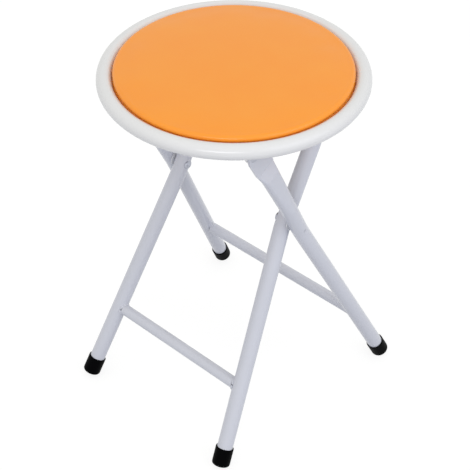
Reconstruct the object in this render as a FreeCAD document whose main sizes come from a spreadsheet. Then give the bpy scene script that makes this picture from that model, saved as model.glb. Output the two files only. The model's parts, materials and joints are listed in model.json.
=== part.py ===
"""Round folding stool: padded seat in a tube ring, carried by two crossing leg frames.

X runs along the pivot axis, Y is the direction in which the legs spread, Z is up.
The origin lies on the floor, at the centre of the stool's footprint.  Millimetres.
"""
import FreeCAD, Part
import math
import os
import re

import Sketcher

doc = FreeCAD.newDocument("folding_stool")
Vector, Rotation, Placement = FreeCAD.Vector, FreeCAD.Rotation, FreeCAD.Placement
X_AXIS, Y_AXIS, Z_AXIS = Vector(1, 0, 0), Vector(0, 1, 0), Vector(0, 0, 1)

# Driving dimensions: alias, value and what it measures.
DIMENSIONS = [
    ("tube_diameter", 19, "legs"),
    ("ring_tube_diameter", 17.5, "seat ring"),
    ("tube_wall", 1.2, "wall of the legs and of the ring"),
    ("rail_diameter", 14, "lower rails and top bar"),
    ("rail_wall", 1, "wall of the rails"),
    ("fit_gap", 0.05, "radial gap of pins in holes and of caps on tubes"),
    ("seat_diameter", 298.5, "outside of the ring"),
    ("ring_height", 434.6, "floor to the ring's tube axis"),
    ("seat_offset", 4.3, "seat axis in Y, from the footprint's centre"),
    ("pivot_height", 276.42, "floor to the pivot rivets"),
    ("pivot_offset", 0.765, "pivot axis in Y"),
    ("inner_tilt", 28.23, "inner frame's lean from upright, degrees"),
    ("outer_tilt", 26.26, "outer frame's lean from upright, degrees"),
    ("inner_half_width", 80.3, "inner legs above the bend, axis to centre plane"),
    ("outer_half_width", 100.65, "outer legs above the bend"),
    ("inner_splay", 6.28, "inner legs below the bend, degrees"),
    ("outer_splay", 7.64, "outer legs below the bend, degrees"),
    ("bend_drop", 9, "pivot to the corner of the bend"),
    ("bend_radius", 60, "bend of the legs below the pivot"),
    ("inner_leg_drop", 303, "corner of the bend to the cap's end, along the leg"),
    ("outer_leg_drop", 298.5, "the same for the outer legs"),
    ("inner_rail_drop", 208.9, "pivot to the inner rail, in the frame's plane"),
    ("outer_rail_drop", 201.6, "pivot to the outer rail"),
    ("top_bar_rise", 152.7, "pivot to the top bar, in the frame's plane"),
    ("leg_top_rise", 161, "pivot to the cut end of an inner leg"),
    ("hinge_rise", 155.5, "pivot to the hinge rivet, along the outer leg"),
    ("hinge_offset", 5.4, "hinge rivet off the outer leg's axis, towards the rear"),
    ("press_start_rise", 45, "pivot to where an outer leg starts to flatten"),
    ("oval_rise", 112, "pivot to where it is oval"),
    ("oval_width", 23, "oval part of an outer leg"),
    ("oval_thickness", 11, "oval part of an outer leg"),
    ("tab_rise", 125, "pivot to where it is flat"),
    ("tab_root_width", 26.5, "flattened end, where it starts"),
    ("tab_width", 28.8, "flattened end, before its rounding"),
    ("tab_thickness", 3, "flattened end"),
    ("tab_inset", 4.4, "flattened end, from the leg's axis towards the stool's middle"),
    ("tab_centre_rise", 149, "pivot to the centre of the tab's round end"),
    ("press_corner", 0.32, "straight side's end from the pressed leg's edge, per thickness"),
    ("press_edge", 0.55, "rounding of the pressed leg's edge, per thickness"),
    ("rivet_diameter", 6, "pivot and hinge rivets"),
    ("rivet_head", 11, "head diameter"),
    ("rivet_head_rise", 2.4, "head height"),
    ("rivet_saddle", 1.8, "head's skirt round the tube"),
    ("rivet_tail", 9, "formed tail"),
    ("rivet_tail_rise", 2.2, "formed tail"),
    ("rivet_end", 4, "flush end of a pivot rivet in the outer leg's far wall"),
    ("rivet_play", 0.3, "hinge rivet's tail to the bracket"),
    ("washer_diameter", 18, "pivot washer"),
    ("washer_thickness", 0.95, "pivot washer"),
    ("plug_rise", 2, "plug's crown above the leg's cut end"),
    ("plug_depth", 12, "plug's stem inside the leg"),
    ("cap_diameter", 22, "foot cap"),
    ("cap_length", 23.5, "foot cap"),
    ("cap_sole", 4, "thickness under the tube's end"),
    ("cap_edge", 3, "rounding of the sole"),
    ("cap_lip", 0.6, "rounding of the cap's mouth"),
    ("strap_width", 21, "seat straps"),
    ("strap_thickness", 2.5, "seat straps and hinge brackets"),
    ("strap_base", 426.9, "floor to the straps' underside"),
    ("front_strap_reach", 119.5, "half length, before coping to the ring"),
    ("rear_strap_reach", 114.3, "half length, before coping to the ring"),
    ("front_strap_offset", 70.545, "seat axis to the front strap's centre line"),
    ("ear_width", 16, "hinge bracket along Y"),
    ("ear_gap", 0.4, "hinge bracket to the flattened leg end"),
    ("bracket_reach", 25, "hinge bracket's flange along X"),
    ("bracket_bend", 4, "outer radius of the bracket's bend"),
    ("board_radius", 128.4, "fibreboard disc"),
    ("board_thickness", 8, "fibreboard disc"),
    ("board_base", 430.5, "floor to the board's underside"),
    ("cover_thickness", 1, "upholstery cover"),
    ("cover_radius", 131.2, "widest part of the pad"),
    ("cover_edge", 5.5, "rounding of the pad's edge"),
    ("cover_edge_height", 441.1, "floor to the centre of that rounding"),
    ("cover_crown", 450, "floor to the top of the pad"),
    ("hem_radius", 112, "inner edge of the hem under the board"),
    ("catch_offset", 45, "catch block's centre in X"),
    ("catch_length", 24, "catch block along X"),
    ("catch_gap", 0.3, "groove of the catch block over the top bar"),
    ("catch_wall", 6, "catch block's lip"),
    ("catch_lip", 6.5, "reach of the lip below the bar's axis"),
    ("catch_toe", 15, "catch block's toe, from the strap's edge"),
    ("catch_toe_drop", 5, "strap's underside to the toe's underside"),
    ("catch_wrap", 145, "turn of the groove round the bar, degrees"),
    ("screw_diameter", 4, "seat screws"),
    ("screw_head", 8, "seat screws"),
    ("screw_head_rise", 2.4, "seat screws"),
    ("screw_length", 10, "strap screws, under the head"),
    ("catch_screw_length", 14.5, "catch screws, under the head"),
    ("rear_screw_offset", 45, "rear strap's screws in X"),
    ("front_screw_offset", 20, "front strap's screws in X"),
    ("vent_diameter", 4, "drain hole under the ring"),
]

sheet = doc.addObject("Spreadsheet::Sheet", "dims")
for row, (alias, number, meaning) in enumerate(DIMENSIONS, start=1):
    sheet.set(f"A{row}", meaning)
    sheet.set(f"B{row}", str(number))
    sheet.setAlias(f"B{row}", alias)
doc.recompute()
ALIASES = re.compile(r"\b(" + "|".join(alias for alias, _, _ in DIMENSIONS) + r")\b")

parts = []


def size(expression):
    """Value of an expression over the sheet's aliases."""
    return float(sheet.evalExpression(expression))


def bind(item, target, expression):
    """Drive a property or constraint of an object from the sheet."""
    item.setExpression(target, ALIASES.sub(r"dims.\1", expression))


def finished(item, label):
    """Name a sub-part and add it to the list that is written out."""
    item.Label = label
    parts.append(item)
    return item


def new_body(name, placement):
    body = doc.addObject("PartDesign::Body", name)
    body.Placement = placement
    return body


def new_sketch(body, role, lift=None):
    """Sketch on one of the body's own origin planes, raised by an optional expression."""
    sketch = body.newObject("Sketcher::SketchObject", "sketch")
    plane = next(item for item in body.Origin.OriginFeatures if item.Role == role)
    sketch.AttachmentSupport = [(plane, "")]
    sketch.MapMode = "FlatFace"
    if lift:
        bind(sketch, "AttachmentOffset.Base.z", lift)
    return sketch


def limit(sketch, kind, *places, expression):
    """Add a dimension to a sketch and bind it to the sheet."""
    number = sketch.addConstraint(Sketcher.Constraint(kind, *places, size(expression)))
    bind(sketch, f"Constraints[{number}]", expression)


def pin_point(sketch, geometry, end, across, up):
    """Tie a point of the sketch to its two coordinates, given as expressions."""
    for kind, axis, expression in (("DistanceX", -2, across), ("DistanceY", -1, up)):
        if expression == "0":
            sketch.addConstraint(Sketcher.Constraint("PointOnObject", geometry, end, axis))
        else:
            limit(sketch, kind, -1, 1, geometry, end, expression=expression)


def draw_circle(sketch, across, up, radius):
    centre = Vector(size(across), size(up), 0)
    geometry = sketch.addGeometry(Part.Circle(centre, Z_AXIS, size(radius)))
    limit(sketch, "Radius", geometry, expression=radius)
    pin_point(sketch, geometry, 3, across, up)


def arc_between(start, end, radius, clockwise):
    """Minor arc of a given radius from start to end."""
    half = (end - start) * 0.5
    towards_centre = Vector(-half.y, half.x, 0).normalize() * (-1 if clockwise else 1)
    reach = math.sqrt(radius ** 2 - half.Length ** 2)
    middle = start + half + towards_centre * (reach - radius)
    return Part.Arc(start, middle, end)


def draw_outline(sketch, corners, closed=True):
    """Outline through corners (across, up).

    A corner with two more entries, a radius and "left" or "right", is reached by an arc of that
    radius that turns that way; any other corner is reached by a straight line.
    """
    places = [Vector(size(corner[0]), size(corner[1]), 0) for corner in corners]
    count = len(corners) if closed else len(corners) - 1
    for index in range(count):
        target = (index + 1) % len(corners)
        if len(corners[target]) == 2:
            sketch.addGeometry(Part.LineSegment(places[index], places[target]))
        else:
            radius, way = corners[target][2:]
            sketch.addGeometry(arc_between(places[index], places[target], size(radius), way == "right"))
    for index in range(count):
        target = (index + 1) % len(corners)
        pin_point(sketch, index, end_at(sketch, index, places[index]), *corners[index][:2])
        if len(corners[target]) > 2:
            limit(sketch, "Radius", index, expression=corners[target][2])
        arrival = end_at(sketch, index, places[target])
        if closed or index < count - 1:
            departure = end_at(sketch, target, places[target])
            sketch.addConstraint(Sketcher.Constraint("Coincident", index, arrival, target, departure))
        else:
            pin_point(sketch, index, arrival, *corners[target][:2])


def end_at(sketch, geometry, place):
    """Which end of a line or arc lies at a place: 1 for its start, 2 for its end."""
    return min((1, 2), key=lambda end: sketch.getPoint(geometry, end).distanceToPoint(place))


def pad(body, sketch, length, both_ways=False):
    feature = body.newObject("PartDesign::Pad", "pad")
    feature.Profile = sketch
    bind(feature, "Length", length)
    feature.SideType = "Symmetric" if both_ways else "One side"
    return feature


def pocket(body, sketch, length=None, both_ways=True):
    """Cut the sketch out: through everything, or over a length about its plane or behind it."""
    feature = body.newObject("PartDesign::Pocket", "pocket")
    feature.Profile = sketch
    feature.SideType = "Symmetric" if both_ways else "One side"
    if length is None:
        feature.Type = "ThroughAll"
    else:
        bind(feature, "Length", length)
    return feature


def revolve(body, sketch, axis="V_Axis"):
    feature = body.newObject("PartDesign::Revolution", "revolution")
    feature.Profile = sketch
    feature.ReferenceAxis = (sketch, [axis])
    feature.Angle = 360
    return feature


def cylinder(radius, height, placement):
    item = doc.addObject("Part::Cylinder", "cylinder")
    bind(item, "Radius", radius)
    bind(item, "Height", height)
    item.Placement = placement
    return item


def cube(side, placement):
    """Cube about the origin of a placement, used to cut other solids."""
    item = doc.addObject("Part::Box", "cube")
    item.Length = item.Width = item.Height = side
    item.Placement = placement * Placement(Vector(-side / 2, -side / 2, -side / 2), UPRIGHT)
    return item


def cut(base, tool):
    item = doc.addObject("Part::Cut", "cut")
    item.Base = base
    item.Tool = tool
    return item


def fuse(items):
    item = doc.addObject("Part::MultiFuse", "fuse")
    item.Shapes = items
    return item


# Each frame stands in its own leaning plane, with the pivot as its origin.
PIVOT = Vector(0, size("pivot_offset"), size("pivot_height"))
FRAMES = {
    "inner": Placement(PIVOT, Rotation(X_AXIS, -size("inner_tilt"))),
    "outer": Placement(PIVOT, Rotation(X_AXIS, size("outer_tilt"))),
}
SIDES = {"left": -1, "right": 1}
ALONG_X = Rotation(Y_AXIS, 90)
UPRIGHT = Rotation()
HINGE = FRAMES["outer"] * Vector(0, -size("hinge_offset"), size("hinge_rise"))
TAB_PLANE = "(outer_half_width - tab_inset)"
EAR_FACE = f"({TAB_PLANE} - tab_thickness / 2 - ear_gap)"
RING_RADIUS = "(seat_diameter - ring_tube_diameter) / 2"
LEG_CUTTER = size("6 * rail_diameter")


def seat_place(height, across=0.0, along=0.0):
    """Placement on the seat, measured from its axis and the floor."""
    return Placement(Vector(across, size("seat_offset") + along, height), UPRIGHT)


def lower_leg(frame, sign, drop):
    """Placement on a splayed lower leg, its Z axis pointing up the leg."""
    slope = math.radians(size(f"{frame}_splay"))
    corner = Vector(sign * size(f"{frame}_half_width"), 0, -size("bend_drop"))
    place = corner + Vector(sign * math.sin(slope), 0, -math.cos(slope)) * drop
    return FRAMES[frame] * Placement(place, Rotation(Y_AXIS, -sign * math.degrees(slope)))


def sweep_leg(body, frame, sign, top):
    """Bent tube from a height above the pivot down to the sole of its foot cap."""
    across = f"{sign} * {frame}_half_width"
    tangent = f"bend_radius * tan({frame}_splay / 2)"
    below = f"{frame}_leg_drop - cap_sole"
    spine = new_sketch(body, "XZ_Plane")
    draw_outline(spine, [
        (across, top),
        (across, f"{tangent} - bend_drop"),
        (f"{across} + {sign} * {tangent} * sin({frame}_splay)",
         f"-bend_drop - {tangent} * cos({frame}_splay)", "bend_radius", "left" if sign > 0 else "right"),
        (f"{across} + {sign} * ({below}) * sin({frame}_splay)",
         f"-bend_drop - ({below}) * cos({frame}_splay)"),
    ], closed=False)
    section = new_sketch(body, "XY_Plane", lift=top)
    draw_circle(section, across, "0", "tube_diameter / 2")
    draw_circle(section, across, "0", "tube_diameter / 2 - tube_wall")
    doc.recompute()
    pipe = body.newObject("PartDesign::AdditivePipe", "pipe")
    pipe.Profile = section
    pipe.Spine = (spine, ["Edge1", "Edge2", "Edge3"])
    doc.recompute()


def inner_leg(side, sign):
    """Bent tube, cut square at the top, drilled through both walls for the pivot rivet."""
    body = new_body("inner_leg", FRAMES["inner"])
    sweep_leg(body, "inner", sign, "leg_top_rise")
    hole = new_sketch(body, "YZ_Plane")
    draw_circle(hole, "0", "0", "rivet_diameter / 2")
    pocket(body, hole)
    finished(body, f"inner_leg_{side}")


def loft(body, kind, sections):
    """Straight-sided blend through sections, added to or taken from the body."""
    doc.recompute()
    blend = body.newObject(f"PartDesign::{kind}Loft", "loft")
    blend.Profile = sections[0]
    blend.Sections = sections[1:]
    blend.Ruled = True
    doc.recompute()


def pressed_sections(body, sign, wall):
    """Sections of an outer leg's pressed top, drawn in by a wall: round, oval, then flat.

    Its inner side stays in line with the tube, so the flat part is set in from the leg's axis.
    """
    corners = [(1, -1), (1, 1), (-1, 1), (-1, -1)]
    axis, radius = f"{sign} * outer_half_width", f"(tube_diameter / 2 - {wall})"
    round_end = new_sketch(body, "XY_Plane", lift="press_start_rise")
    draw_outline(round_end, [
        (f"{axis} + {x} * {radius} * sin(45)", f"{y} * {radius} * sin(45)", radius, "left")
        for x, y in corners])
    sections = [round_end]
    for rise, width, thickness, inset in (
            ("oval_rise", "oval_width", "oval_thickness", "tab_inset / 2"),
            ("tab_rise", "tab_root_width", "tab_thickness", "tab_inset")):
        across = f"{sign} * (outer_half_width - {inset})"
        thick, half = f"({thickness} - 2 * {wall})", f"({width} / 2 - {wall})"
        section = new_sketch(body, "XY_Plane", lift=rise)
        draw_outline(section, [
            (f"{across} + {x} * {thick} / 2", f"{y} * ({half} - press_corner * {thick})",
             *((f"press_edge * {thick}", "left") if x == -y else ())) for x, y in corners])
        sections.append(section)
    return sections


def outer_leg(side, sign):
    """Bent tube whose top is pressed flat into a tab, round at its end, for the hinge rivet."""
    body = new_body("outer_leg", FRAMES["outer"])
    sweep_leg(body, "outer", sign, "press_start_rise")
    loft(body, "Additive", pressed_sections(body, sign, "0"))
    loft(body, "Subtractive", pressed_sections(body, sign, "tube_wall"))
    tab = new_sketch(body, "YZ_Plane", lift=f"{sign} * {TAB_PLANE}")
    draw_outline(tab, [
        ("-tab_root_width / 2", "tab_rise"),
        ("tab_root_width / 2", "tab_rise"),
        ("tab_width / 2", "tab_centre_rise"),
        ("0", "tab_centre_rise + tab_width / 2", "tab_width / 2", "left"),
        ("-tab_width / 2", "tab_centre_rise", "tab_width / 2", "left"),
    ])
    pad(body, tab, "tab_thickness", both_ways=True)
    doc.recompute()
    hinge_hole = new_sketch(body, "YZ_Plane")
    draw_circle(hinge_hole, "-hinge_offset", "hinge_rise", "rivet_diameter / 2 + fit_gap")
    pocket(body, hinge_hole)
    pivot_hole = new_sketch(body, "YZ_Plane")
    draw_circle(pivot_hole, "0", "0", "rivet_diameter / 2 + fit_gap")
    pocket(body, pivot_hole, "2 * outer_half_width")
    far_hole = new_sketch(body, "YZ_Plane")
    draw_circle(far_hole, "0", "0", "rivet_end / 2 + fit_gap")
    pocket(body, far_hole)
    finished(body, f"outer_leg_{side}")


def cross_tube(label, frame, height, reach, legs):
    """Thin tube across a frame, its ends cut flat along the legs that it is welded to."""
    start = FRAMES[frame] * Placement(Vector(-reach, 0, height), ALONG_X)
    tube = cut(cylinder("rail_diameter / 2", str(2 * reach), start),
               cylinder("rail_diameter / 2 - rail_wall", str(2 * reach), start))
    beyond = LEG_CUTTER / 2 - size("tube_diameter / 2 + fit_gap")
    cutters = [cube(LEG_CUTTER, leg * Placement(Vector(sign * beyond, 0, 0), UPRIGHT))
               for leg, sign in zip(legs, SIDES.values())]
    finished(cut(tube, fuse(cutters)), label)


def lower_rail(frame):
    slope = math.radians(size(f"{frame}_splay"))
    below_bend = size(f"{frame}_rail_drop - bend_drop")
    cross_tube(f"{frame}_rail", frame, -size(f"{frame}_rail_drop"),
               size(f"{frame}_half_width") + below_bend * math.tan(slope),
               [lower_leg(frame, sign, below_bend / math.cos(slope)) for sign in SIDES.values()])


def top_bar():
    reach, rise = size("inner_half_width"), size("top_bar_rise")
    legs = [FRAMES["inner"] * Placement(Vector(sign * reach, 0, rise), UPRIGHT) for sign in SIDES.values()]
    cross_tube("inner_top_bar", "inner", rise, reach, legs)


def foot_cap(frame, side, sign, floor):
    """Push-on cap with a rounded sole, flat where it meets the floor."""
    outside, bore = "cap_diameter / 2", "tube_diameter / 2 + fit_gap"
    body = new_body("cap", lower_leg(frame, sign, size(f"{frame}_leg_drop")))
    profile = new_sketch(body, "XZ_Plane")
    draw_outline(profile, [
        ("0", "0"),
        (f"{outside} - cap_edge", "0"),
        (outside, "cap_edge", "cap_edge", "left"),
        (outside, "cap_length - cap_lip"),
        (f"{outside} - cap_lip", "cap_length", "cap_lip", "left"),
        (bore, "cap_length"),
        (bore, "cap_sole"),
        ("0", "cap_sole"),
    ])
    revolve(body, profile)
    finished(cut(body, floor), f"{frame}_foot_cap_{side}")


def dome(radius, rise):
    """Radius of a dome over a circle, from the circle's radius and the dome's rise."""
    return f"(({radius})^2 + ({rise})^2) / (2 * ({rise}))"


def top_plug(side, sign):
    """Domed insert that closes the cut top of an inner leg."""
    place = Placement(Vector(sign * size("inner_half_width"), 0, size("leg_top_rise")), UPRIGHT)
    body = new_body("plug", FRAMES["inner"] * place)
    profile = new_sketch(body, "XZ_Plane")
    rim, stem = "tube_diameter / 2", "tube_diameter / 2 - tube_wall - fit_gap"
    draw_outline(profile, [
        ("0", "-plug_depth"),
        (stem, "-plug_depth"),
        (stem, "0"),
        (rim, "0"),
        ("0", "plug_rise", dome(rim, "plug_rise"), "left"),
    ])
    revolve(body, profile)
    finished(body, f"inner_top_plug_{side}")


def pivot_rivet(side, sign):
    """Rivet through an inner leg, its head saddled on the tube and its tail inside the outer leg.

    A thin end goes on through the outer leg's far wall and is ground flush there.
    """
    outward = Placement(PIVOT, Rotation(Y_AXIS, sign * 90))
    face = "inner_half_width - tube_diameter / 2"
    body = new_body("rivet_head", outward)
    profile = new_sketch(body, "XZ_Plane")
    draw_outline(profile, [
        ("0", f"{face} - rivet_head_rise"),
        ("rivet_head / 2", face, dome("rivet_head / 2", "rivet_head_rise"), "left"),
        ("rivet_head / 2", f"{face} + rivet_saddle"),
        ("0", f"{face} + rivet_saddle"),
    ])
    revolve(body, profile)
    leg = Placement(Vector(sign * size("inner_half_width"), 0, -LEG_CUTTER / 2), UPRIGHT)
    head = cut(body, cylinder("tube_diameter / 2", str(LEG_CUTTER), FRAMES["inner"] * leg))
    tail_start = ("outer_half_width + 4 * fit_gap"
                  " - sqrt((tube_diameter / 2 - tube_wall)^2 - (rivet_tail / 2)^2)")
    shank = cylinder("rivet_diameter / 2", f"{tail_start} - ({face})",
                     outward * Placement(Vector(0, 0, size(face)), UPRIGHT))
    tail = cylinder("rivet_tail / 2", "rivet_tail_rise",
                    outward * Placement(Vector(0, 0, size(tail_start)), UPRIGHT))
    flush = "outer_half_width + sqrt((tube_diameter / 2)^2 - (rivet_end / 2)^2)"
    end = cylinder("rivet_end / 2", f"{flush} - ({tail_start})",
                   outward * Placement(Vector(0, 0, size(tail_start)), UPRIGHT))
    finished(fuse([head, shank, tail, end]), f"pivot_rivet_{side}")


def pivot_washer(side, sign):
    start = size("(inner_half_width + outer_half_width - washer_thickness) / 2")
    place = Placement(PIVOT, Rotation(Y_AXIS, sign * 90)) * Placement(Vector(0, 0, start), UPRIGHT)
    disc = cylinder("washer_diameter / 2", "washer_thickness", place)
    hole = cylinder("rivet_diameter / 2 + fit_gap", "washer_thickness", place)
    finished(cut(disc, hole), f"pivot_washer_{side}")


def hinge_rivet(side, sign):
    """Rivet through a flattened leg end and the ear of its hinge bracket."""
    body = new_body("hinge_rivet", Placement(HINGE, Rotation(Y_AXIS, sign * 90)))
    profile = new_sketch(body, "XZ_Plane")
    outside = f"{TAB_PLANE} + tab_thickness / 2"
    inside = f"{EAR_FACE} - strap_thickness - rivet_play"
    draw_outline(profile, [
        ("0", f"{inside} - rivet_tail_rise"),
        ("rivet_tail / 2", f"{inside} - rivet_tail_rise"),
        ("rivet_tail / 2", inside),
        ("rivet_diameter / 2", inside),
        ("rivet_diameter / 2", outside),
        ("rivet_head / 2", outside),
        ("0", f"{outside} + rivet_head_rise", dome("rivet_head / 2", "rivet_head_rise"), "left"),
    ])
    revolve(body, profile)
    finished(body, f"hinge_rivet_{side}")


def seat_ring():
    """Tube rolled into a ring, with a drain hole underneath."""
    body = new_body("ring", seat_place(size("ring_height")))
    section = new_sketch(body, "XZ_Plane")
    draw_circle(section, RING_RADIUS, "0", "ring_tube_diameter / 2")
    draw_circle(section, RING_RADIUS, "0", "ring_tube_diameter / 2 - tube_wall")
    revolve(body, section)
    doc.recompute()
    vent = new_sketch(body, "XY_Plane")
    draw_circle(vent, "0", RING_RADIUS, "vent_diameter / 2")
    pocket(body, vent, "ring_tube_diameter", both_ways=False)
    finished(body, "seat_ring")


def seat_strap(end, along, ring):
    """Flat bar across the ring, coped to its underside and drilled for the board's screws."""
    body = new_body("strap", seat_place(size("strap_base"), along=along))
    face = new_sketch(body, "XY_Plane")
    draw_outline(face, [(f"{x} * {end}_strap_reach", f"{y} * strap_width / 2")
                        for x, y in ((-1, -1), (1, -1), (1, 1), (-1, 1))])
    for sign in SIDES.values():
        draw_circle(face, f"{sign} * {end}_screw_offset", "0", "screw_diameter / 2 + fit_gap")
    pad(body, face, "strap_thickness")
    finished(cut(body, ring), f"{end}_strap")


def hinge_bracket(side, sign):
    """Folded steel angle: a flange under the rear strap and an ear beside the flattened leg end."""
    top = str(size("strap_base") - HINGE.z)
    body = new_body("bracket", Placement(HINGE, UPRIGHT))
    back, corner = f"({EAR_FACE} - strap_thickness)", f"({EAR_FACE} - bracket_bend)"
    outside_turn, inside_turn = ("left", "right") if sign > 0 else ("right", "left")
    profile = new_sketch(body, "XZ_Plane")
    draw_outline(profile, [
        (f"{sign} * {EAR_FACE}", "-ear_width / 2"),
        (f"{sign} * {EAR_FACE}", f"{top} - bracket_bend"),
        (f"{sign} * {corner}", top, "bracket_bend", outside_turn),
        (f"{sign} * ({EAR_FACE} - bracket_reach)", top),
        (f"{sign} * ({EAR_FACE} - bracket_reach)", f"{top} - strap_thickness"),
        (f"{sign} * {corner}", f"{top} - strap_thickness"),
        (f"{sign} * {back}", f"{top} - bracket_bend", "bracket_bend - strap_thickness", inside_turn),
        (f"{sign} * {back}", "-ear_width / 2"),
    ])
    angle = pad(body, profile, "ear_width", both_ways=True)
    doc.recompute()
    low, speck = HINGE.z - size("ear_width / 2"), size("fit_gap / 5")
    corners = [f"Edge{number}" for number, edge in enumerate(body.Shape.Edges, start=1)
               if edge.BoundBox.ZMax < low + speck and edge.BoundBox.YLength < speck]
    rounding = body.newObject("PartDesign::Fillet", "fillet")
    rounding.Base = (angle, corners)
    bind(rounding, "Radius", "ear_width / 2 - fit_gap")
    doc.recompute()
    hole = new_sketch(body, "YZ_Plane")
    draw_circle(hole, "0", "0", "rivet_diameter / 2 + fit_gap")
    pocket(body, hole)
    finished(body, f"hinge_bracket_{side}")


def catch_block(side, sign):
    """Moulded block that sits on the top bar when the stool is open, its lip behind the bar.

    Its toe steps up beside the front strap and is screwed to the board.
    """
    bar = FRAMES["inner"] * Vector(0, 0, size("top_bar_rise"))
    body = new_body("catch", Placement(bar + X_AXIS * (sign * size("catch_offset")), UPRIGHT))
    top = f"(strap_base - {bar.z} - 2 * fit_gap)"
    toe_top = f"(board_base - {bar.z})"
    toe_base = f"({top} - catch_toe_drop)"
    step = f"(seat_offset + front_strap_offset - strap_width / 2 - {bar.y} - 4 * fit_gap)"
    groove = "(rail_diameter / 2 + catch_gap)"
    profile = new_sketch(body, "YZ_Plane")
    draw_outline(profile, [
        (f"{groove} + catch_wall", top),
        (step, top),
        (step, toe_top),
        (f"{step} - catch_toe", toe_top),
        (f"{step} - catch_toe", toe_base),
        (step, toe_base),
        (f"{groove} * cos(catch_wrap)", f"{groove} * sin(catch_wrap)"),
        (groove, "0", groove, "right"),
        (groove, "-catch_lip"),
        (f"{groove} + catch_wall", "-catch_lip"),
    ])
    pad(body, profile, "catch_length", both_ways=True)
    doc.recompute()
    hole = new_sketch(body, "XY_Plane")
    draw_circle(hole, "0", f"{step} - catch_toe / 2", "screw_diameter / 2 + fit_gap")
    pocket(body, hole)
    finished(body, f"catch_block_{side}")
    return bar + Vector(sign * size("catch_offset"), size(f"{step} - catch_toe / 2"), size(toe_base))


def screws(label, places, length):
    """Pan-head screws, driven upwards from the given places."""
    bodies = []
    for place in places:
        body = new_body("screw", Placement(place, UPRIGHT))
        profile = new_sketch(body, "XZ_Plane")
        crown = dome("screw_head / 2", "screw_head_rise * 2 / 3")
        draw_outline(profile, [
            ("0", "-screw_head_rise"),
            ("screw_head / 2", "-screw_head_rise / 3", crown, "left"),
            ("screw_head / 2", "0"),
            ("screw_diameter / 2", "0"),
            ("screw_diameter / 2", f"{length} - screw_diameter / 2"),
            ("0", length),
        ])
        revolve(body, profile)
        bodies.append(body)
    group = doc.addObject("Part::Compound", "screws")
    group.Links = bodies
    finished(group, label)


def seat_board(screw_places):
    """Fibreboard disc with a blind pilot hole over each screw."""
    base = seat_place(size("board_base"))
    body = new_body("board", base)
    disc = new_sketch(body, "XY_Plane")
    draw_circle(disc, "0", "0", "board_radius")
    pad(body, disc, "board_thickness")
    doc.recompute()
    holes = new_sketch(body, "XY_Plane")
    for place in screw_places:
        spot = base.inverse() * place
        draw_circle(holes, str(spot.x), str(spot.y), "screw_diameter / 2 + fit_gap")
    feature = pocket(body, holes, "board_thickness - cover_thickness", both_ways=False)
    feature.Reversed = True
    finished(body, "seat_board")


def pad_profile(inset):
    """Rounded edge and crown of the pad, drawn in by an inset: from the board's side to the axis."""
    centre, edge = "(cover_radius - cover_edge)", f"(cover_edge - {inset})"
    side = f"(board_radius + cover_thickness + 2 * fit_gap - {inset})"
    crown = dome(centre, "cover_crown - cover_edge_height - cover_edge")
    return side, [
        (side, f"cover_edge_height - sqrt({edge}^2 - ({side} - {centre})^2)"),
        (centre, f"cover_edge_height + {edge}", edge, "left"),
        ("0", f"cover_crown - {inset}", crown, "left"),
    ]


def backwards(corners):
    """The same outline run the other way: each arc now arrives at its other end and turns right."""
    arcs = [corner[2:3] + ("right",) if len(corner) > 2 else () for corner in corners]
    places = [corner[:2] for corner in corners]
    return [place + arc for place, arc in zip(reversed(places), [()] + list(reversed(arcs)))]


def seat_cover():
    """Upholstery skin over the foam, down the board's side and hemmed under it."""
    body = new_body("cover", seat_place(0))
    profile = new_sketch(body, "XZ_Plane")
    side, outside = pad_profile("0")
    inner_side, inside = pad_profile("cover_thickness")
    draw_outline(profile, [
        ("hem_radius", "board_base - cover_thickness"),
        (f"{side} - 2 * cover_thickness", "board_base - cover_thickness"),
        (side, "board_base + cover_thickness", "2 * cover_thickness", "left"),
        *outside,
        *backwards(inside),
        (inner_side, "board_base"),
        ("hem_radius", "board_base"),
    ])
    revolve(body, profile)
    finished(body, "seat_cover")


def seat_foam():
    """Foam disc between the board and the cover."""
    body = new_body("foam", seat_place(0))
    profile = new_sketch(body, "XZ_Plane")
    inset = "(cover_thickness + 2 * fit_gap)"
    _, outside = pad_profile(inset)
    base = "board_base + board_thickness"
    edge = f"(cover_edge - {inset})"
    draw_outline(profile, [
        ("0", base),
        (f"cover_radius - cover_edge + sqrt({edge}^2 - (cover_edge_height - ({base}))^2)", base),
        *outside[1:],
    ])
    revolve(body, profile)
    finished(body, "seat_foam")


FLOOR_SPAN = size("2 * seat_diameter")
floor = cube(FLOOR_SPAN, Placement(Vector(0, 0, -FLOOR_SPAN / 2), UPRIGHT))

for side, sign in SIDES.items():
    outer_leg(side, sign)
    inner_leg(side, sign)
    for frame in FRAMES:
        foot_cap(frame, side, sign, floor)
    top_plug(side, sign)
    pivot_rivet(side, sign)
    pivot_washer(side, sign)
    hinge_rivet(side, sign)
    hinge_bracket(side, sign)
for frame in FRAMES:
    lower_rail(frame)
top_bar()

seat_ring()
ring_solid = doc.addObject("Part::Torus", "ring_solid")
bind(ring_solid, "Radius1", RING_RADIUS)
bind(ring_solid, "Radius2", "ring_tube_diameter / 2 + fit_gap")
ring_solid.Placement = seat_place(size("ring_height"))
STRAPS = {"rear": HINGE.y - size("seat_offset"), "front": size("front_strap_offset")}
for end, along in STRAPS.items():
    seat_strap(end, along, ring_solid)

catch_screw_places = [catch_block(side, sign) for side, sign in SIDES.items()]
strap_screw_places = [seat_place(size("strap_base"), sign * size(f"{end}_screw_offset"), along).Base
                      for end, along in STRAPS.items() for sign in SIDES.values()]
screws("strap_screws", strap_screw_places, "screw_length")
screws("catch_screws", catch_screw_places, "catch_screw_length")
seat_board(strap_screw_places + catch_screw_places)
seat_foam()
seat_cover()
doc.recompute()

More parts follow.
